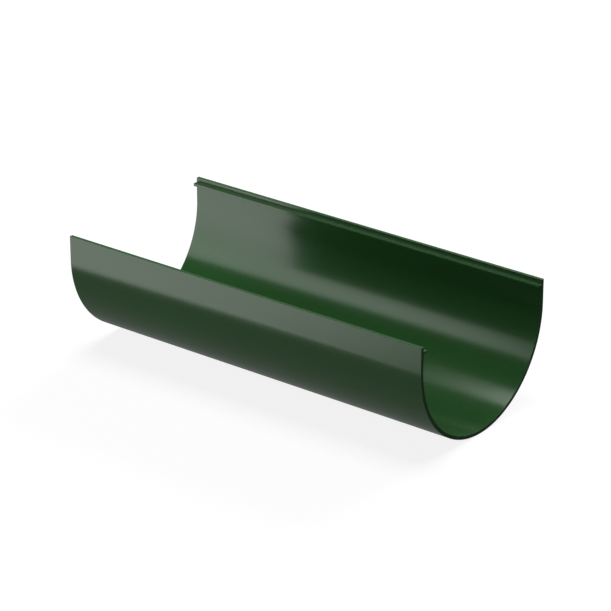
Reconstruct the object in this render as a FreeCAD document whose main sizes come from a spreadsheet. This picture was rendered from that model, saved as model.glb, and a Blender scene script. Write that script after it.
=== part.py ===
"""Short length of extruded half-round rain gutter with tall sides and a lip inside each rim.

The gutter is one extrusion. Its section is a half circle with a straight upright on each
side, one wall thickness all round, and a small shelf-like lip a little below each rim,
which stiffens the edge and gives brackets and unions something to hook on. The extruder's
die leaves soft corners on the rims and lips. The ends are sawn square.

Frame: X along the gutter, Y across it, Z up. The origin is under the middle of the gutter,
on the lowest line of the round bottom, so the piece stands on the plane Z = 0.
All sizes are in millimetres.
"""

import FreeCAD, Part

import enum
import math
import os

import Sketcher

SECTION_PLANE = "YZ_Plane"
SAME_PLACE = 0.001
BOTH_SIDES = (1, -1)


class At(enum.IntEnum):
    """Point of a line or an arc that a constraint takes hold of."""

    START = 1
    END = 2
    CENTRE = 3


class Fixed(enum.IntEnum):
    """Number of the sketch's own fixed geometry."""

    ORIGIN = -1
    VERTICAL_AXIS = -2


# Name, value and meaning of each size that drives the model
SIZES = (
    ("gutter_length", 257.0, "sawn length of the piece"),
    ("outer_width", 120.0, "outside width over the uprights"),
    ("upright_height", 15.2, "straight side above the half circle"),
    ("wall_thickness", 2.2, "wall, the same all round"),
    ("lip_drop", 2.9, "from the rim down to the top of the lip"),
    ("lip_thickness", 1.8, "height of the lip"),
    ("lip_reach", 3.0, "how far the lip stands in from the wall"),
    ("rim_rounding", 0.15, "radius on both corners of each rim"),
    ("lip_rounding", 0.15, "radius on both corners of the lip's edge"),
    ("lip_root_fillet", 0.15, "radius where the lip leaves the wall"),
)


def make_sheet(doc):
    """Writes the driving sizes into a spreadsheet and gives each cell its alias."""
    sheet = doc.addObject("Spreadsheet::Sheet", "Sizes")
    for row, (alias, value, meaning) in enumerate(SIZES, start=1):
        sheet.set(f"A{row}", alias)
        sheet.set(f"B{row}", str(value))
        sheet.set(f"C{row}", meaning)
        sheet.setAlias(f"B{row}", alias)
    doc.recompute()
    return sheet


def origin_plane(body, role):
    """Finds one of the body's own origin planes by its role."""
    return next(item for item in body.Origin.OriginFeatures if item.Role == role)


class Corners:
    """Places of the section's corners in the section plane, worked out from the sheet."""

    def __init__(self, sheet):
        self.outer_radius = sheet.outer_width / 2
        self.inner_radius = self.outer_radius - sheet.wall_thickness
        self.spring_level = self.outer_radius
        self.rim_level = self.spring_level + sheet.upright_height
        self.lip_top = self.rim_level - sheet.lip_drop
        self.lip_bottom = self.lip_top - sheet.lip_thickness
        self.lip_edge = self.inner_radius - sheet.lip_reach

    def side_path(self, side):
        """Corners of one side, from the outer arc's end over the rim to the inner arc's end.

        side is 1 on the +Y side and -1 on the -Y side.
        """
        return [
            (side * self.outer_radius, self.spring_level),
            (side * self.outer_radius, self.rim_level),
            (side * self.inner_radius, self.rim_level),
            (side * self.inner_radius, self.lip_top),
            (side * self.lip_edge, self.lip_top),
            (side * self.lip_edge, self.lip_bottom),
            (side * self.inner_radius, self.lip_bottom),
            (side * self.inner_radius, self.spring_level),
        ]


# Names of the seven straight lines on each side, in the order of Corners.side_path
SIDE_LINES = ("outside", "rim", "above_lip", "lip_top", "lip_edge", "lip_bottom", "below_lip")


def draw_section(body, sheet):
    """Draws the closed section and ties every size in it to the sheet."""
    sketch = body.newObject("Sketcher::SketchObject", "section")
    sketch.AttachmentSupport = [(origin_plane(body, SECTION_PLANE), "")]
    sketch.MapMode = "FlatFace"
    corners = Corners(sheet)

    def point(place):
        return FreeCAD.Vector(place[0], place[1], 0)

    def half_circle(radius):
        circle = Part.Circle(point((0, corners.spring_level)), FreeCAD.Vector(0, 0, 1), radius)
        return sketch.addGeometry(Part.ArcOfCircle(circle, math.pi, 2 * math.pi), False)

    outer_arc = half_circle(corners.outer_radius)
    inner_arc = half_circle(corners.inner_radius)
    sides = {}
    for side in BOTH_SIDES:
        path = corners.side_path(side)
        sides[side] = {
            name: sketch.addGeometry(Part.LineSegment(point(a), point(b)), False)
            for name, a, b in zip(SIDE_LINES, path, path[1:])
        }

    def constrain(*terms):
        return sketch.addConstraint(Sketcher.Constraint(*terms))

    # Each half circle runs smoothly into the uprights, and each side is one chain of lines
    for side, arc_end in ((1, At.END), (-1, At.START)):
        lines = sides[side]
        constrain("Tangent", outer_arc, arc_end, lines["outside"], At.START)
        constrain("Tangent", inner_arc, arc_end, lines["below_lip"], At.END)
        for before, after in zip(SIDE_LINES, SIDE_LINES[1:]):
            constrain("Coincident", lines[before], At.END, lines[after], At.START)

    # The +Y side is square, with the wall in one line above and below the lip
    right = sides[1]
    for name in ("outside", "above_lip", "lip_edge", "below_lip"):
        constrain("Vertical", right[name])
    for name in ("rim", "lip_top", "lip_bottom"):
        constrain("Horizontal", right[name])
    constrain("PointOnObject", right["above_lip"], At.END, right["below_lip"])

    # The -Y side mirrors the +Y side
    left = sides[-1]
    for name in SIDE_LINES[:-1]:
        constrain("Symmetric", right[name], At.END, left[name], At.END, Fixed.VERTICAL_AXIS)

    # The lowest point of the outer half circle lies on the origin
    constrain("Coincident", inner_arc, At.CENTRE, outer_arc, At.CENTRE)
    constrain("PointOnObject", outer_arc, At.CENTRE, Fixed.VERTICAL_AXIS)

    def drive(name, start_value, expression, *terms):
        """Adds one dimension, names it and binds it to the sheet."""
        number = constrain(*terms, start_value)
        sketch.renameConstraint(number, name)
        sketch.setExpression(f"Constraints.{name}", expression)

    half_width = "Sizes.outer_width / 2"
    middle = (outer_arc, At.CENTRE)
    drive("spring_level", corners.spring_level, half_width, "DistanceY", Fixed.ORIGIN, At.START, *middle)
    drive("outer_radius", corners.outer_radius, half_width, "Radius", outer_arc)
    inner_radius = f"{half_width} - Sizes.wall_thickness"
    drive("inner_radius", corners.inner_radius, inner_radius, "Radius", inner_arc)
    for size, line in (
        ("upright_height", "outside"),
        ("lip_drop", "above_lip"),
        ("lip_thickness", "lip_edge"),
        ("lip_reach", "lip_top"),
    ):
        drive(size, getattr(sheet, size), f"Sizes.{size}", "Distance", right[line])
    return sketch


def long_edges(shape, places):
    """Names of the edges that run along the gutter through the given places of the section."""
    names = []
    for number, edge in enumerate(shape.Edges, start=1):
        ends = [vertex.Point for vertex in edge.Vertexes]
        if len(ends) != 2 or abs(ends[0].x - ends[1].x) < SAME_PLACE:
            continue
        for y, z in places:
            if all(math.hypot(end.y - y, end.z - z) < SAME_PLACE for end in ends):
                names.append(f"Edge{number}")
    if len(names) != len(places):
        raise RuntimeError(f"found {len(names)} long edges for {len(places)} places")
    return names


def round_edges(doc, body, base, name, places, radius):
    """Adds one fillet feature on the long edges through the given places."""
    fillet = body.newObject("PartDesign::Fillet", name)
    fillet.Base = (base, long_edges(base.Shape, places))
    fillet.setExpression("Radius", radius)
    doc.recompute()
    return fillet


def make_gutter(doc, sheet):
    """The whole gutter: the section, its extrusion and the die's soft corners."""
    body = doc.addObject("PartDesign::Body", "gutter")
    body.Label = "gutter"
    sketch = draw_section(body, sheet)
    doc.recompute()

    extrusion = body.newObject("PartDesign::Pad", "extrusion")
    extrusion.Profile = sketch
    extrusion.SideType = "Symmetric"
    extrusion.setExpression("Length", "Sizes.gutter_length")
    doc.recompute()

    corners = Corners(sheet)
    walls = (corners.outer_radius, corners.inner_radius)
    lip_faces = (corners.lip_top, corners.lip_bottom)
    rims = [(side * y, corners.rim_level) for side in BOTH_SIDES for y in walls]
    tips = [(side * corners.lip_edge, z) for side in BOTH_SIDES for z in lip_faces]
    roots = [(side * corners.inner_radius, z) for side in BOTH_SIDES for z in lip_faces]
    rounded = round_edges(doc, body, extrusion, "rim_corners", rims, "Sizes.rim_rounding")
    rounded = round_edges(doc, body, rounded, "lip_corners", tips, "Sizes.lip_rounding")
    rounded = round_edges(doc, body, rounded, "lip_roots", roots, "Sizes.lip_root_fillet")
    body.Tip = rounded
    doc.recompute()
    return body


def check_and_export(doc, bodies):
    """Stops on a failed object or a bad shape, then writes one STEP file for each body."""
    for item in doc.Objects:
        if "Invalid" in item.State or "Error" in item.State:
            raise RuntimeError(f"{item.Name} failed: {item.State}")
    for body in bodies:
        if body.Shape.isNull() or not body.Shape.isValid():
            raise RuntimeError(f"{body.Label} has no valid shape")
    os.makedirs("parts", exist_ok=True)
    for body in bodies:
        body.Shape.exportStep(f"parts/{body.Label}.step")
        box = body.Shape.BoundBox
        print(
            f"{body.Label}: {box.XLength:.2f} x {box.YLength:.2f} x {box.ZLength:.2f} mm, "
            f"volume {body.Shape.Volume / 1000:.2f} cm3"
        )


document = FreeCAD.newDocument("half_round_gutter")
size_sheet = make_sheet(document)
check_and_export(document, [make_gutter(document, size_sheet)])
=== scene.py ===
"""Looks of a short length of green half-round rain gutter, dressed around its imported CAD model.

The gutter is one extruded piece of rigid plastic. Its mesh is swept here along the same section
as the CAD node's, with finer arcs and softened saw cuts, and it stands for that node. Its two
finishes are the skin that the extruder leaves and the sawn ends.

Frame: X along the gutter, Y across it, Z up. The origin is under the middle of the gutter, on the
floor. Lengths are in metres, angles in degrees and colours in linear light.
"""

import logging
import math
from abc import ABC, abstractmethod
from dataclasses import dataclass, field, fields
from enum import Enum

import bmesh
import bpy
from mathutils import Matrix, Vector


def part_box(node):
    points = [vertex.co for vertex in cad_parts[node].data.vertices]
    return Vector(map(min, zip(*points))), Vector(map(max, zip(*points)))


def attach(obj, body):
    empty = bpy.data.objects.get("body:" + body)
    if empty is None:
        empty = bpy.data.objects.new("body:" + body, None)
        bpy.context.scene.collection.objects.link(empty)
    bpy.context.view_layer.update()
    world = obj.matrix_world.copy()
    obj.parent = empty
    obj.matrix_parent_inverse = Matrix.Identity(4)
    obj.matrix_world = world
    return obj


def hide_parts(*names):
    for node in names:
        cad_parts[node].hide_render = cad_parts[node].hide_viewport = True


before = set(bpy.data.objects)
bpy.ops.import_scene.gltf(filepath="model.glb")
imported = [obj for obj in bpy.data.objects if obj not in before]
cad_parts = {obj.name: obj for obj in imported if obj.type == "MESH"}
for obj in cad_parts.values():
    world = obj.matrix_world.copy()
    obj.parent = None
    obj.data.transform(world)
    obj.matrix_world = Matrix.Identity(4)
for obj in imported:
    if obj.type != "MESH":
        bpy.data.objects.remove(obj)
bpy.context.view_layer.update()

log = logging.getLogger("gutter")

MM = 0.001
CM3_PER_M3 = 1e6
CAD_NODE = "gutter"
BODY = "root"

# A count is compared half a step away from a whole number, where rounding can't reach
HALF_STEP = 0.5

# The level that noise textures vary about
NOISE_MIDDLE = 0.5

Colour = tuple[float, float, float]
Socket = bpy.types.NodeSocket


class Face(Enum):
    """The two kinds of surface on the gutter, each with its own finish."""

    DRAWN = "drawn_skin"
    SAWN = "sawn_end"


class Num:
    """A number inside a node tree, on which plain arithmetic adds Math nodes."""

    def __init__(self, tree: "Tree", socket: Socket) -> None:
        """Holds one socket of a tree."""
        self.tree = tree
        self.socket = socket

    def __add__(self, other: "Value") -> "Num":
        """Adds."""
        return self.tree.math("ADD", self, other)

    def __sub__(self, other: "Value") -> "Num":
        """Subtracts."""
        return self.tree.math("SUBTRACT", self, other)

    def __rsub__(self, other: float) -> "Num":
        """Subtracts from a plain number."""
        return self.tree.math("SUBTRACT", other, self)

    def __mul__(self, other: "Value") -> "Num":
        """Multiplies."""
        return self.tree.math("MULTIPLY", self, other)

    def __truediv__(self, other: "Value") -> "Num":
        """Divides."""
        return self.tree.math("DIVIDE", self, other)

    def __gt__(self, other: "Value") -> "Num":
        """Gives 1 where it is more, else 0."""
        return self.tree.math("GREATER_THAN", self, other)

    def __lt__(self, other: "Value") -> "Num":
        """Gives 1 where it is less, else 0."""
        return self.tree.math("LESS_THAN", self, other)


Value = float | Num
Inputs = dict[str | int, object]


class Tree:
    """A node tree with short ways of adding nodes to it."""

    def __init__(self, tree: bpy.types.NodeTree) -> None:
        """Holds the tree that the nodes go into."""
        self.tree = tree

    def link(self, source: Num | Socket, target: Socket) -> None:
        """Feeds one socket into another."""
        self.tree.links.new(source.socket if isinstance(source, Num) else source, target)

    def node(self, kind: str, inputs: Inputs | None = None, **settings: object) -> bpy.types.Node:
        """Adds one node.

        Args:
            kind: the node's type name.
            inputs: a value, socket or number for each input, by the input's name or place.
            settings: the node's own properties.

        Returns:
            The new node.
        """
        node = self.tree.nodes.new(kind)
        for name, value in settings.items():
            setattr(node, name, value)
        for key, value in (inputs or {}).items():
            if isinstance(value, (Num, Socket)):
                self.link(value, node.inputs[key])
            else:
                node.inputs[key].default_value = value
        return node

    def socket(self, kind: str, inputs: Inputs | None = None, **settings: object) -> Socket:
        """Adds one node and gives its first output."""
        return self.node(kind, inputs, **settings).outputs[0]

    def number(self, kind: str, inputs: Inputs | None = None, **settings: object) -> Num:
        """Adds one node and gives its first output as a number."""
        return Num(self, self.socket(kind, inputs, **settings))

    def math(self, operation: str, *terms: Value) -> Num:
        """Adds one Math node."""
        return self.number("ShaderNodeMath", dict(enumerate(terms)), operation=operation)

    def vector(self, x: Value, y: Value, z: Value) -> Socket:
        """Puts three numbers together as a vector."""
        return self.socket("ShaderNodeCombineXYZ", {"X": x, "Y": y, "Z": z})

    def split(self, vector: Socket) -> list[Num]:
        """Takes a vector apart into its three numbers."""
        return [Num(self, part) for part in self.node("ShaderNodeSeparateXYZ", {0: vector}).outputs]

    def remap(self, value: Value, low: float, high: float, to_low: float, to_high: float) -> Num:
        """Maps one range of numbers onto another and holds it at both ends."""
        ends = {"From Min": low, "From Max": high, "To Min": to_low, "To Max": to_high}
        return self.number("ShaderNodeMapRange", {"Value": value, **ends})

    def choose(self, test: Num, yes: Value, no: Value, input_type: str) -> Num:
        """Gives yes where the test is 1, else no."""
        choices = {"Switch": test, "True": yes, "False": no}
        return self.number("GeometryNodeSwitch", choices, input_type=input_type)

    def row_of_points(self, count: Value) -> Socket:
        """Makes a straight curve with the given number of points."""
        line = self.socket("GeometryNodeCurvePrimitiveLine", {"End": (1.0, 0.0, 0.0)})
        return self.socket("GeometryNodeResampleCurve", {"Curve": line, "Count": count})


def new_group(
    name: str, kind: str, inputs: dict[str, tuple[str, object]], outputs: dict[str, str]
) -> tuple[Tree, dict[str, Num], bpy.types.Node]:
    """Makes a node group with named sockets.

    Args:
        name: the group's name.
        kind: the tree's type, such as ShaderNodeTree.
        inputs: for each input its socket type and its first value, or None.
        outputs: for each output its socket type.

    Returns:
        The tree, its inputs by name, and its output node.
    """
    group = bpy.data.node_groups.new(name, kind)
    for label, (socket_type, value) in inputs.items():
        socket = group.interface.new_socket(name=label, in_out="INPUT", socket_type=socket_type)
        if value is not None:
            socket.default_value = value
    for label, socket_type in outputs.items():
        group.interface.new_socket(name=label, in_out="OUTPUT", socket_type=socket_type)
    tree = Tree(group)
    start = tree.node("NodeGroupInput")
    given = {label: Num(tree, start.outputs[label]) for label in inputs}
    return tree, given, tree.node("NodeGroupOutput")


def number_inputs(values: dict[str, float | int]) -> dict[str, tuple[str, object]]:
    """Describes one input of a node group for each named number.

    Args:
        values: the numbers by name. Whole ones are counts.

    Returns:
        The socket type and first value of each, as new_group takes them.
    """
    types = {int: "NodeSocketInt", float: "NodeSocketFloat"}
    return {name: (types[type(value)], value) for name, value in values.items()}


def empty_tree(owner: bpy.types.Material | bpy.types.World) -> Tree:
    """Gives a material or a world an empty node tree.

    Args:
        owner: the material or world.

    Returns:
        Its tree.
    """
    owner.use_nodes = True
    owner.node_tree.nodes.clear()
    return Tree(owner.node_tree)


def add_object(name: str, data: bpy.types.ID) -> bpy.types.Object:
    """Adds an object to the scene.

    Args:
        name: the object's name.
        data: its mesh, lamp or camera.

    Returns:
        The object.
    """
    thing = bpy.data.objects.new(name, data)
    bpy.context.scene.collection.objects.link(thing)
    return thing


def looking_at(aim: Vector, azimuth: float, elevation: float, offset: Vector) -> Matrix:
    """Places a camera or a lamp that looks at the gutter from one direction.

    Args:
        aim: the place that it is set out from.
        azimuth: its direction, from +X towards +Y.
        elevation: its direction above the floor's plane.
        offset: how far it stands from aim to its own right, upwards and backwards.

    Returns:
        The object's matrix.
    """
    a, e = math.radians(azimuth), math.radians(elevation)
    back = Vector((math.cos(a) * math.cos(e), math.sin(a) * math.cos(e), math.sin(e)))
    right = Vector((-math.sin(a), math.cos(a), 0.0))
    turn = Matrix((right, back.cross(right), back)).transposed()
    return Matrix.Translation(turn @ offset + aim) @ turn.to_4x4()


@dataclass
class Section:
    """Sizes of the gutter's section, as plain numbers or as the inputs of a node tree."""

    width: Value = 120.0 * MM
    height: Value = 75.2 * MM
    wall: Value = 2.2 * MM
    lip_drop: Value = 2.9 * MM
    lip_thickness: Value = 1.8 * MM
    lip_reach: Value = 3.0 * MM
    rim_radius: Value = 0.15 * MM
    lip_radius: Value = 0.15 * MM
    root_radius: Value = 0.15 * MM

    def sizes(self) -> dict[str, Value]:
        """Gives every size by its name."""
        return {size.name: getattr(self, size.name) for size in fields(self)}

    def corners(self, inset: Value) -> list[tuple[Value, Value, Value]]:
        """Gives the corners of the +Y half, from the outer bottom over the rim to the inner bottom.

        Args:
            inset: how far every face is moved into the wall.

        Returns:
            The rounding radius, y and z of each corner.
        """
        outer = self.width / 2 - inset
        inner = self.width / 2 - self.wall + inset
        edge = inner - self.lip_reach
        lip_top = self.height - self.lip_drop - inset
        lip_bottom = self.height - self.lip_drop - self.lip_thickness + inset
        rim = self.height - inset
        return [
            (outer, outer, inset),
            (self.rim_radius - inset, outer, rim),
            (self.rim_radius - inset, inner, rim),
            (self.root_radius + inset, inner, lip_top),
            (self.lip_radius - inset, edge, lip_top),
            (self.lip_radius - inset, edge, lip_bottom),
            (self.root_radius + inset, inner, lip_bottom),
            (inner, inner, self.wall - inset),
        ]


@dataclass
class Gutter:
    """The gutter: one sweep of its section, with the saw's edges softened at both ends."""

    name: str = "gutter_shell"
    section: Section = field(default_factory=Section)
    length: float = 257.0 * MM

    # The rounding of the sawn edges, how far a sawn face may turn from X, and how near points merge
    cut_softness: float = 0.10 * MM
    cut_angle: float = 30.0
    merge_distance: float = 0.0005 * MM

    # Rings over each sawn edge and between the two, then steps round the arcs and the corners
    cut_steps: int = 4
    body_steps: int = 14
    arc_steps: int = 72
    corner_steps: int = 6

    def fit_to(self, low: Vector, high: Vector) -> None:
        """Takes the overall sizes from the CAD node's box.

        Args:
            low: the box's lowest corner.
            high: the box's highest corner.
        """
        self.length = high.x - low.x
        self.section.width = high.y - low.y
        self.section.height = high.z

    def counts(self) -> dict[str, int]:
        """Gives how finely the section is divided, by name."""
        return {name: getattr(self, name) for name in ("arc_steps", "corner_steps")}

    def values(self) -> dict[str, float | int]:
        """Gives every number that the sweep takes, by the name of its input."""
        names = ("length", "cut_softness", "cut_angle", "merge_distance", "cut_steps", "body_steps")
        return {**self.section.sizes(), **self.counts(), **{name: getattr(self, name) for name in names}}

    def section_group(self) -> bpy.types.NodeTree:
        """Builds the node group that draws the closed section as one curve.

        Returns:
            A group with an input for each size of the section and one for the inset.
        """
        inputs = number_inputs({**self.section.sizes(), **self.counts(), "inset": 0.0})
        outputs = {"Curve": "NodeSocketGeometry"}
        tree, given, end = new_group("gutter_section", "GeometryNodeTree", inputs, outputs)
        half = Section(**{name: given[name] for name in self.section.sizes()}).corners(given["inset"])
        total = 2 * len(half)
        loop = tree.socket("GeometryNodeSetSplineCyclic", {0: tree.row_of_points(total), "Cyclic": True})

        # The second half of the points takes the same corners backwards, on the -Y side
        index = tree.number("GeometryNodeInputIndex")
        mirrored = index > len(half) - HALF_STEP
        corner = tree.node("GeometryNodeIndexSwitch", data_type="VECTOR")
        while len(corner.index_switch_items) < len(half):
            corner.index_switch_items.new()
        tree.link(tree.choose(mirrored, total - 1 - index, index, "INT"), corner.inputs[0])
        for number, numbers in enumerate(half, start=1):
            tree.link(tree.vector(*numbers), corner.inputs[number])
        radius, y, z = tree.split(corner.outputs[0])
        place = tree.vector(0.0, y * (1 - mirrored * 2), z)
        placed = tree.socket("GeometryNodeSetPosition", {"Geometry": loop, "Position": place})

        # Only the round bottom's radii are larger than the wall
        steps = tree.choose(radius > given["wall"], given["arc_steps"], given["corner_steps"], "INT")
        rounding = {"Curve": placed, "Radius": radius, "Count": steps}
        tree.link(tree.socket("GeometryNodeFilletCurve", rounding, mode="POLY"), end.inputs["Curve"])
        return tree.tree

    def sweep_group(self) -> bpy.types.NodeTree:
        """Builds the Geometry Nodes tree that sweeps the section and softens both saw cuts.

        Returns:
            A tree with an input for every size, count and material.
        """
        inputs = number_inputs(self.values())
        inputs.update({face.value: ("NodeSocketMaterial", None) for face in Face})
        outputs = {"Geometry": "NodeSocketGeometry"}
        tree, given, end = new_group("gutter_sweep", "GeometryNodeTree", inputs, outputs)
        section = self.section_group()
        shared = {name: given[name] for name in (*self.section.sizes(), *self.counts())}

        def draw(inset: Value) -> Socket:
            """Draws the section with its faces moved into the wall."""
            return tree.socket("GeometryNodeGroup", {**shared, "inset": inset}, node_tree=section)

        full, cut = draw(0.0), draw(given["cut_softness"])
        around = tree.number("GeometryNodeAttributeDomainSize", {"Geometry": full}, component="CURVE")
        stations = given["cut_steps"] * 2 + given["body_steps"]
        sweep = {"Curve": tree.row_of_points(stations), "Profile Curve": full, "Fill Caps": True}
        swept = tree.socket("GeometryNodeCurveToMesh", sweep)

        # Each ring of the sweep is one station, counted from the -X end
        index = tree.number("GeometryNodeInputIndex")
        station = tree.math("FLOOR", (index + HALF_STEP) / around)
        on_ring = tree.math("FLOORED_MODULO", index, around)
        last = stations - 1
        from_end = tree.math("MINIMUM", station, last - station)

        # Near each end the rings go a quarter of a turn round the softened edge
        end_steps = given["cut_steps"] - 1
        turn = tree.math("MINIMUM", from_end / end_steps, 1.0) * (math.pi / 2)
        pulled_in = 1 - tree.math("SINE", turn)
        half = given["length"] / 2
        end_x = half - given["cut_softness"] * (1 - tree.math("COSINE", turn))
        side = tree.math("SIGN", station * 2 - last)

        # Between them they are spread evenly
        share = (station - end_steps) / (last - end_steps * 2)
        middle_x = (half - given["cut_softness"]) * (share * 2 - 1)
        at_end = from_end < given["cut_steps"] - HALF_STEP
        x = tree.choose(at_end, end_x * side, middle_x, "FLOAT")

        def sample(curve: Socket) -> list[Num]:
            """Looks up this ring's point on a curve.

            Args:
                curve: the socket that gives the curve.

            Returns:
                The point's x, y and z.
            """
            position = tree.socket("GeometryNodeInputPosition")
            lookup = {"Geometry": curve, "Value": position, "Index": on_ring}
            return tree.split(tree.socket("GeometryNodeSampleIndex", lookup, data_type="FLOAT_VECTOR"))

        _, full_y, full_z = sample(full)
        _, cut_y, cut_z = sample(cut)
        y = full_y + (cut_y - full_y) * pulled_in
        z = full_z + (cut_z - full_z) * pulled_in
        moved = {"Geometry": swept, "Position": tree.vector(x, y, z)}
        shaped = tree.socket("GeometryNodeSetPosition", moved)
        close = {"Geometry": shaped, "Distance": given["merge_distance"]}
        merged = tree.socket("GeometryNodeMergeByDistance", close)
        rounded = {0: merged, "Shade Smooth": True}
        smooth = tree.socket("GeometryNodeSetShadeSmooth", rounded, domain="FACE")
        realized = tree.socket("GeometryNodeRealizeInstances", {"Geometry": smooth})

        # The faces that look along X are sawn
        facing_x = tree.math("ABSOLUTE", tree.split(tree.socket("GeometryNodeInputNormal"))[0])
        is_cut = facing_x > tree.math("COSINE", tree.math("RADIANS", given["cut_angle"]))
        drawn = {0: realized, "Material": given[Face.DRAWN.value]}
        skin = tree.socket("GeometryNodeSetMaterial", drawn)
        sawn = {0: skin, "Selection": is_cut, "Material": given[Face.SAWN.value]}
        tree.link(tree.socket("GeometryNodeSetMaterial", sawn), end.inputs["Geometry"])
        return tree.tree

    def build(self, finishes: dict[Face, bpy.types.Material]) -> bpy.types.Object:
        """Builds the gutter's mesh from its tree and puts it in place of the CAD node.

        Args:
            finishes: the material for each kind of surface.

        Returns:
            The finished piece, riding on its body.
        """
        maker = add_object("gutter_maker", bpy.data.meshes.new("gutter_maker"))
        modifier = maker.modifiers.new("sweep", "NODES")
        modifier.node_group = self.sweep_group()
        values = {**self.values(), **{face.value: material for face, material in finishes.items()}}
        for socket in modifier.node_group.interface.items_tree:
            if socket.in_out == "INPUT":
                modifier[socket.identifier] = values[socket.name]
        maker.modifiers.new("flat_faces_lead", "WEIGHTED_NORMAL").mode = "FACE_AREA"
        graph = bpy.context.evaluated_depsgraph_get()
        mesh = bpy.data.meshes.new_from_object(maker.evaluated_get(graph), depsgraph=graph)
        mesh.name = self.name
        bpy.data.objects.remove(maker)
        piece = add_object(self.name, mesh)
        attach(piece, BODY)
        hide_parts(CAD_NODE)
        volume = self.signed_volume(mesh) * CM3_PER_M3
        log.info("%s: %d faces, volume %.2f cm3", piece.name, len(mesh.polygons), volume)
        return piece

    @staticmethod
    def signed_volume(mesh: bpy.types.Mesh) -> float:
        """Measures a closed mesh's volume.

        Args:
            mesh: the mesh.

        Returns:
            The volume in cubic metres, above zero where the faces point outwards.
        """
        work = bmesh.new()
        work.from_mesh(mesh)
        volume = work.calc_volume(signed=True)
        work.free()
        return volume


@dataclass(frozen=True)
class DieMarks:
    """What the extruder's die leaves: faint lines along the gutter, a fine grain, slow mottling."""

    lines_per_metre: float = 420.0
    lines_detail: float = 3.0
    lines_squeeze: float = 0.004
    grain_per_metre: float = 1500.0
    grain_detail: float = 2.0
    clouds_per_metre: float = 26.0
    clouds_detail: float = 3.0

    def group(self) -> bpy.types.NodeTree:
        """Builds the shader group.

        Returns:
            A group that gives the lines, the grain and the clouds, each from 0 to 1.
        """
        inputs = {
            "Place": ("NodeSocketVector", None),
            "Lines per metre": ("NodeSocketFloat", self.lines_per_metre),
            "Grain per metre": ("NodeSocketFloat", self.grain_per_metre),
            "Clouds per metre": ("NodeSocketFloat", self.clouds_per_metre),
        }
        outputs = {"Lines": "NodeSocketFloat", "Grain": "NodeSocketFloat", "Clouds": "NodeSocketFloat"}
        tree, given, end = new_group("die_lines", "ShaderNodeTree", inputs, outputs)
        x, y, z = tree.split(given["Place"].socket)
        along = tree.vector(x * self.lines_squeeze, y, z)
        for label, place, detail in (
            ("Lines", along, self.lines_detail),
            ("Grain", given["Place"], self.grain_detail),
            ("Clouds", given["Place"], self.clouds_detail),
        ):
            noise = {"Vector": place, "Scale": given[f"{label} per metre"], "Detail": detail}
            tree.link(tree.socket("ShaderNodeTexNoise", noise), end.inputs[label])
        return tree.tree


@dataclass(frozen=True)
class Look:
    """What a finish shows at each place: its lightness, roughness and relief."""

    paler: Num
    roughness: Num
    height: Num


@dataclass(frozen=True)
class GreenPlastic(ABC):
    """Rigid green PVC: the colour and gloss that both finishes share."""

    colour: Colour = (0.0235, 0.087, 0.0235)
    gloss_tint: Colour = (0.91, 1.0, 0.91)
    refraction: float = 1.5
    mottling: float = 0.16

    # The face that the finish is for, its mean roughness, and how high its relief stands
    face: Face = Face.DRAWN
    roughness: float = 0.18
    relief: float = 0.012 * MM

    @abstractmethod
    def look(self, tree: Tree, place: Socket, marks: dict[str, Num]) -> Look:
        """Works out what the finish shows at each place.

        Args:
            tree: the material's tree.
            place: the socket that gives the place on the piece.
            marks: the die's marks by name.

        Returns:
            How pale, rough and high the surface is.
        """

    def material(self, die_marks: bpy.types.NodeTree) -> bpy.types.Material:
        """Makes the finish's material.

        Args:
            die_marks: the shader group of the die's marks.

        Returns:
            The material.
        """
        material = bpy.data.materials.new(f"green_plastic_{self.face.value}")
        tree = empty_tree(material)
        place = tree.node("ShaderNodeTexCoord").outputs["Object"]
        die = tree.node("ShaderNodeGroup", {"Place": place}, node_tree=die_marks)
        look = self.look(tree, place, {mark.name: Num(tree, mark) for mark in die.outputs})
        red, green, blue = ((look.paler + 1.0) * part for part in self.colour)
        relief = {"Strength": 1.0, "Distance": self.relief, "Height": look.height}
        surface = {
            "Base Color": tree.vector(red, green, blue),
            "Roughness": look.roughness,
            "Normal": tree.socket("ShaderNodeBump", relief),
            "IOR": self.refraction,
            "Specular Tint": (*self.gloss_tint, 1.0),
        }
        tree.node("ShaderNodeOutputMaterial", {"Surface": tree.socket("ShaderNodeBsdfPrincipled", surface)})
        return material


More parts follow.
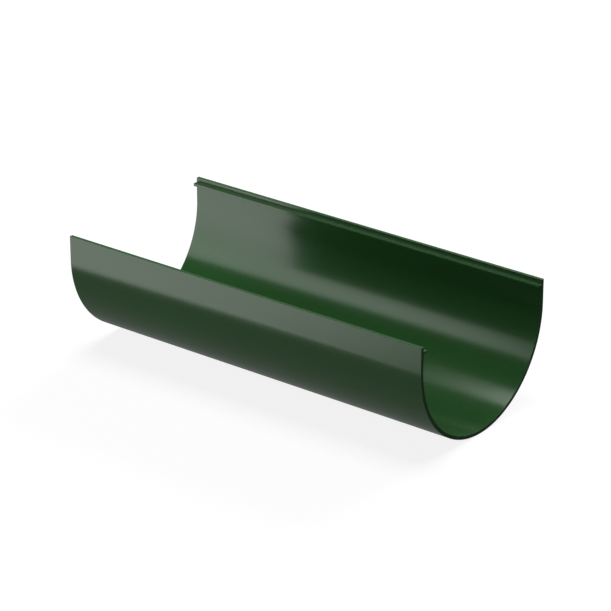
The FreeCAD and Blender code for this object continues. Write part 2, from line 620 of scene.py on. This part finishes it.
@dataclass(frozen=True)
class DrawnSkin(GreenPlastic):
    """The extruder's smooth skin, scuffed in a narrow strip beside each saw cut."""

    half_length: float = 128.5 * MM

    # How much each effect lightens the colour and adds to the roughness
    speckle: float = 0.30
    scuff_paling: float = 0.5
    lines_roughness: float = 0.06
    grain_roughness: float = 0.08
    scuff_roughness: float = 0.30

    # The die lines' share of the relief
    lines_share: float = 0.55

    # The scuffed strip is broken up where the grain is low
    scuff_width: float = 0.6 * MM
    scuff_grain: tuple[float, float] = (0.35, 0.65)
    scuff_least: float = 0.4

    def look(self, tree: Tree, place: Socket, marks: dict[str, Num]) -> Look:
        """Works out what the skin shows at each place.

        Args:
            tree: the material's tree.
            place: the socket that gives the place on the piece.
            marks: the die's marks by name.

        Returns:
            How pale, rough and high the surface is.
        """
        lines, grain, clouds = (marks[name] for name in ("Lines", "Grain", "Clouds"))
        along = tree.math("ABSOLUTE", tree.split(place)[0])
        near_cut = tree.remap(along, self.half_length - self.scuff_width, self.half_length, 0.0, 1.0)
        scuffed = near_cut * near_cut * tree.remap(grain, *self.scuff_grain, self.scuff_least, 1.0)
        mottled = (clouds - NOISE_MIDDLE) * self.mottling
        speckled = (grain - NOISE_MIDDLE) * self.speckle
        rough_lines = (lines - NOISE_MIDDLE) * self.lines_roughness
        rough_grain = (grain - NOISE_MIDDLE) * self.grain_roughness
        return Look(
            paler=mottled + speckled + scuffed * self.scuff_paling,
            roughness=rough_lines + rough_grain + scuffed * self.scuff_roughness + self.roughness,
            height=lines * self.lines_share + grain * (1.0 - self.lines_share),
        )


@dataclass(frozen=True)
class SawnEnd(GreenPlastic):
    """The matt end that the saw leaves, with the blade's round strokes across the wall."""

    face: Face = Face.SAWN
    roughness: float = 0.34
    relief: float = 0.05 * MM

    # How much the strokes lighten the colour, add to the roughness and share of the relief
    strokes_paling: float = 0.7
    strokes_roughness: float = 0.25
    strokes_share: float = 0.8

    # The blade's centre above the gutter's lowest line, and the strokes that it leaves
    blade_centre: float = 180.0 * MM
    strokes_per_metre: float = 1900.0
    strokes_detail: float = 2.0

    def look(self, tree: Tree, place: Socket, marks: dict[str, Num]) -> Look:
        """Works out what the sawn face shows at each place.

        Args:
            tree: the material's tree.
            place: the socket that gives the place on the piece.
            marks: the die's marks by name.

        Returns:
            How pale, rough and high the surface is.
        """
        _, across, up = tree.split(place)
        drop = self.blade_centre - up
        from_centre = tree.math("SQRT", across * across + drop * drop)
        circles = tree.vector(from_centre, 0.0, 0.0)
        noise = {"Vector": circles, "Scale": self.strokes_per_metre, "Detail": self.strokes_detail}
        strokes = tree.number("ShaderNodeTexNoise", noise)
        varied = strokes - NOISE_MIDDLE
        return Look(
            paler=varied * self.strokes_paling + (marks["Clouds"] - NOISE_MIDDLE) * self.mottling,
            roughness=varied * self.strokes_roughness + self.roughness,
            height=strokes * self.strokes_share + marks["Grain"] * (1.0 - self.strokes_share),
        )


@dataclass(frozen=True)
class View:
    """The photograph's camera: its lens, its direction and what it is aimed at."""

    focal_mm: float = 182.18
    sensor_mm: float = 36.0
    azimuth: float = -52.20
    elevation: float = 24.23
    distance: float = 1.804
    shift_right: float = 1.4 * MM
    shift_up: float = -28.1 * MM
    aim_height: float = 75.0 * MM
    nearest: float = 0.01
    farthest: float = 100.0

    def build(self) -> bpy.types.Object:
        """Adds the camera and makes it the scene's own.

        Returns:
            The camera.
        """
        data = bpy.data.cameras.new("photo_camera")
        data.sensor_width = self.sensor_mm
        data.lens = self.focal_mm
        data.clip_start = self.nearest
        data.clip_end = self.farthest
        camera = add_object("photo_camera", data)
        aim = Vector((0.0, 0.0, self.aim_height))
        offset = Vector((self.shift_right, self.shift_up, self.distance))
        camera.matrix_world = looking_at(aim, self.azimuth, self.elevation, offset)
        bpy.context.scene.camera = camera
        return camera


@dataclass(frozen=True)
class Softbox:
    """A rectangular lamp that faces the gutter. Its brightness is that of its surface."""

    name: str
    azimuth: float
    elevation: float
    distance: float
    width: float
    height: float
    roll: float
    brightness: float
    aim_height: float = 35.0 * MM

    def build(self) -> bpy.types.Object:
        """Adds the lamp, unseen by the camera.

        Returns:
            The lamp.
        """
        data = bpy.data.lights.new(self.name, "AREA")
        data.shape = "RECTANGLE"
        data.size = self.width
        data.size_y = self.height
        data.energy = self.brightness * math.pi * self.width * self.height
        lamp = add_object(self.name, data)
        aim = Vector((0.0, 0.0, self.aim_height))
        placed = looking_at(aim, self.azimuth, self.elevation, Vector((0.0, 0.0, self.distance)))
        lamp.matrix_world = placed @ Matrix.Rotation(math.radians(self.roll), 4, "Z")
        lamp.visible_camera = False
        return lamp


SOFTBOXES = (
    Softbox(
        name="side_softbox",
        azimuth=-133.1,
        elevation=2.9,
        distance=1.915,
        width=1.12,
        height=2.117,
        roll=11.3,
        brightness=2.58,
    ),
    Softbox(
        name="top_softbox",
        azimuth=177.0,
        elevation=87.4,
        distance=1.766,
        width=0.65,
        height=1.54,
        roll=5.0,
        brightness=7.45,
    ),
    Softbox(
        name="back_softbox",
        azimuth=95.0,
        elevation=31.0,
        distance=3.0,
        width=1.9,
        height=1.25,
        roll=0.0,
        brightness=10.5,
    ),
)


@dataclass(frozen=True)
class Room:
    """The dim grey room that the lamps stand in, with a brightness for each part of it."""

    above: float = 0.012
    above_back: float = 0.18
    below: float = 0.215
    below_right: float = 0.073

    # Where one brightness runs into the next, along Y, X and Z of a direction
    back_blend: tuple[float, float] = (0.3, 0.7)
    right_blend: tuple[float, float] = (-0.4, 0.5)
    level_blend: tuple[float, float] = (-0.03, 0.03)

    def build(self) -> None:
        """Makes the room the scene's world."""
        world = bpy.data.worlds.new("dim_room")
        bpy.context.scene.world = world
        tree = empty_tree(world)
        right, back, up = tree.split(tree.node("ShaderNodeTexCoord").outputs["Generated"])
        below = tree.remap(right, *self.right_blend, self.below, self.below_right)
        above = tree.remap(back, *self.back_blend, self.above, self.above_back)
        grey = below + (above - below) * tree.remap(up, *self.level_blend, 0.0, 1.0)
        light = {"Color": tree.vector(grey, grey, grey), "Strength": 1.0}
        tree.node("ShaderNodeOutputWorld", {"Surface": tree.socket("ShaderNodeBackground", light)})


@dataclass(frozen=True)
class Stage:
    """The pale floor and the white backdrop, which only the camera sees."""

    floor_radius: float = 3.0
    floor_sides: int = 96
    floor_colour: float = 0.16
    floor_glow: float = 0.86
    backdrop_radius: float = 20.0
    backdrop_sides: int = 48
    backdrop_rings: int = 24
    backdrop_colour: float = 0.0
    backdrop_glow: float = 1.0
    roughness: float = 0.9

    def build(self) -> None:
        """Adds the floor and the backdrop."""
        floor = bmesh.new()
        bmesh.ops.create_circle(floor, cap_ends=True, radius=self.floor_radius, segments=self.floor_sides)
        self.add("floor", floor, self.floor_colour, self.floor_glow)
        backdrop = bmesh.new()
        bmesh.ops.create_uvsphere(
            backdrop,
            u_segments=self.backdrop_sides,
            v_segments=self.backdrop_rings,
            radius=self.backdrop_radius,
        )
        bmesh.ops.reverse_faces(backdrop, faces=backdrop.faces)
        self.add("backdrop", backdrop, self.backdrop_colour, self.backdrop_glow)

    def add(self, name: str, shape: bmesh.types.BMesh, colour: float, glow: float) -> None:
        """Adds one part of the stage, which neither lights nor shades the gutter.

        Args:
            name: the part's name.
            shape: its shape, which is used up.
            colour: its grey.
            glow: how strongly it shines, where 1 is white.
        """
        mesh = bpy.data.meshes.new(name)
        shape.to_mesh(mesh)
        shape.free()
        mesh.materials.append(self.plain_material(f"plain_{name}", colour, glow))
        part = add_object(name, mesh)
        part.visible_diffuse = False
        part.visible_glossy = False
        part.visible_shadow = False

    def plain_material(self, name: str, colour: float, glow: float) -> bpy.types.Material:
        """Makes a plain matt material that also gives off some light of its own.

        Args:
            name: the material's name.
            colour: its grey.
            glow: how strongly it shines, where 1 is white.

        Returns:
            The material.
        """
        material = bpy.data.materials.new(name)
        tree = empty_tree(material)
        surface = {
            "Base Color": (colour, colour, colour, 1.0),
            "Roughness": self.roughness,
            "Specular IOR Level": 0.0,
            "Emission Color": (1.0, 1.0, 1.0, 1.0),
            "Emission Strength": glow,
        }
        tree.node("ShaderNodeOutputMaterial", {"Surface": tree.socket("ShaderNodeBsdfPrincipled", surface)})
        return material


def main() -> None:
    """Builds everything in order and reports each piece."""
    logging.basicConfig(level=logging.INFO, format="%(name)s: %(message)s")
    scene = bpy.context.scene
    scene.view_settings.view_transform = "Standard"
    View().build()
    Room().build()
    for softbox in SOFTBOXES:
        softbox.build()
    Stage().build()
    gutter = Gutter()
    gutter.fit_to(*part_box(CAD_NODE))
    die_marks = DieMarks().group()
    plastics = (DrawnSkin(half_length=gutter.length / 2), SawnEnd())
    finishes = {plastic.face: plastic.material(die_marks) for plastic in plastics}
    gutter.build(finishes)


if __name__ == "__main__":
    main()
